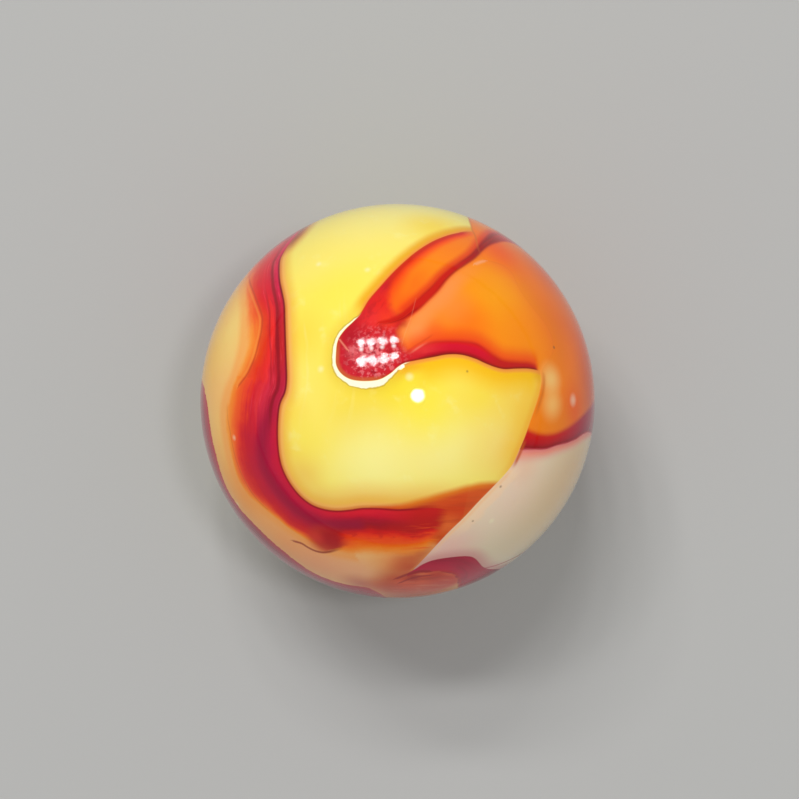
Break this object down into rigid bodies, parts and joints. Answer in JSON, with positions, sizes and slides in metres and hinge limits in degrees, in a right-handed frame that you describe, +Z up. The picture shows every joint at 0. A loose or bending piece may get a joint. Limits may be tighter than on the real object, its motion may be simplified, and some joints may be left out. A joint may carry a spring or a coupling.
{
  "type": "glass marble",
  "caption": "Solid round ball of opaque glass with swirled yellow, orange, red and cream streams, for games, displays and desk use.",
  "frame": {"origin": "centre of the ball", "axes": "+Z points up out of the face with the hooked yellow swirl, which is the face seen from above; +X to the right and +Y to the top of that face"},
  "size_m": [0.016, 0.016, 0.016],
  "materials": {
    "swirl_glass": "fire-polished, glossy, opaque with faint translucence"
  },
  "bodies": {
    "root": {"marble": "swirl_glass"}
  },
  "joints": []
}
